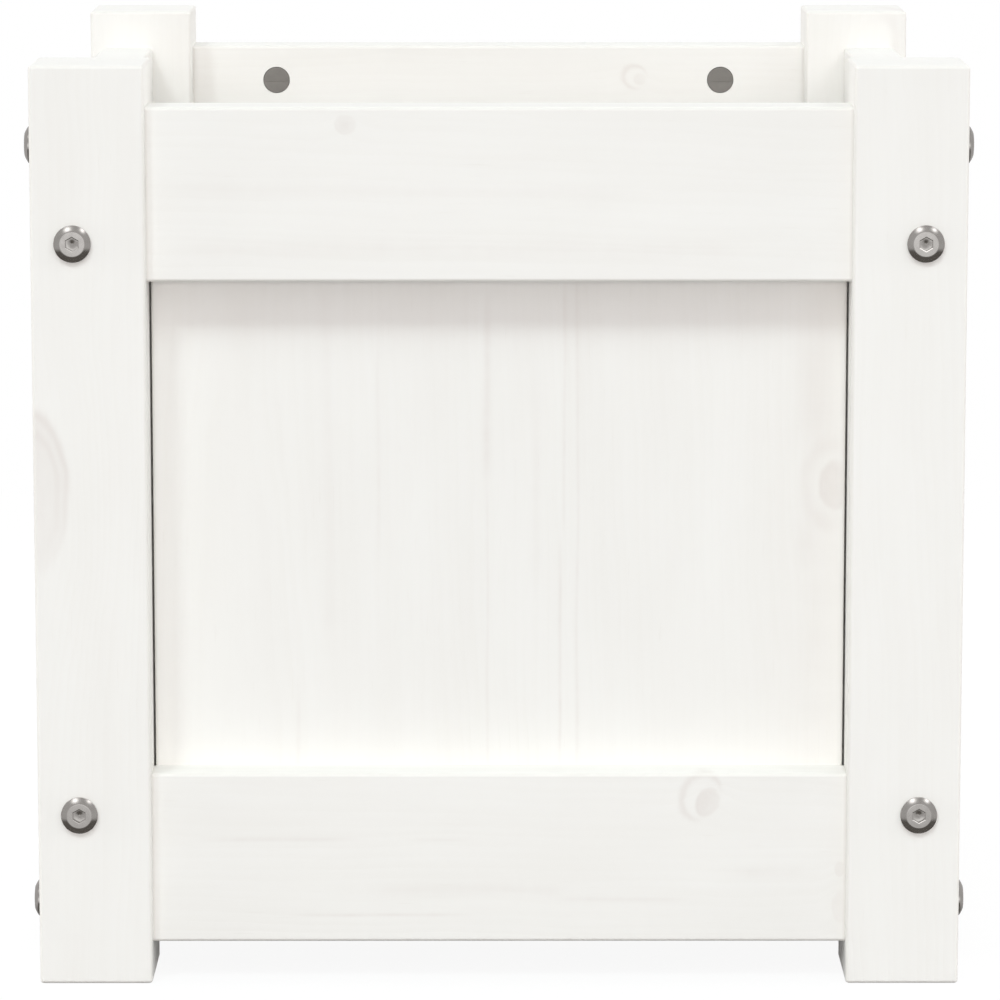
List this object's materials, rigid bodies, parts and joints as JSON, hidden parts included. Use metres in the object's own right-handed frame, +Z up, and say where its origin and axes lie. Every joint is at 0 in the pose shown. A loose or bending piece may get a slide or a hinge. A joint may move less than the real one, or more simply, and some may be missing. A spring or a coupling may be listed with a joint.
{
  "type": "wooden planter",
  "caption": "Square white painted wooden planter: corner posts, recessed rails and boarded panels, joined by bolts and barrel nuts, with a slatted base.",
  "frame": {"origin": "centre of the footprint, on the floor under the four posts", "axes": "+Z up, -Y the front as pictured, +X to its right"},
  "size_m": [0.3148, 0.3148, 0.31],
  "materials": {
    "painted_wood": "satin white paint on pine, grain and knots faintly showing",
    "bare_wood": "bare beech dowel",
    "bolt_steel": "satin nickel plated steel",
    "nut_zinc": "dull zinc plated steel"
  },
  "bodies": {
    "root": {"post_front_left": "painted_wood", "post_front_right": "painted_wood", "post_back_right": "painted_wood", "post_back_left": "painted_wood", "upper_rail_front": "painted_wood", "upper_rail_right": "painted_wood", "upper_rail_back": "painted_wood", "upper_rail_left": "painted_wood", "lower_rail_front": "painted_wood", "lower_rail_right": "painted_wood", "lower_rail_back": "painted_wood", "lower_rail_left": "painted_wood", "panel_front": "painted_wood", "panel_right": "painted_wood", "panel_back": "painted_wood", "panel_left": "painted_wood", "bearer_right": "painted_wood", "bearer_left": "painted_wood", "slat_1": "painted_wood", "slat_2": "painted_wood", "slat_3": "painted_wood", "slat_4": "painted_wood", "slat_5": "painted_wood", "bolts_front": "bolt_steel", "barrel_nuts_front": "nut_zinc", "dowels_front": "bare_wood", "pins_front": "nut_zinc", "bolts_right": "bolt_steel", "barrel_nuts_right": "nut_zinc", "dowels_right": "bare_wood", "pins_right": "nut_zinc", "bolts_back": "bolt_steel", "barrel_nuts_back": "nut_zinc", "dowels_back": "bare_wood", "pins_back": "nut_zinc", "bolts_left": "bolt_steel", "barrel_nuts_left": "nut_zinc", "dowels_left": "bare_wood", "pins_left": "nut_zinc", "bearer_screws_right": "nut_zinc", "bearer_screws_left": "nut_zinc", "slat_screws": "nut_zinc"}
  },
  "joints": []
}
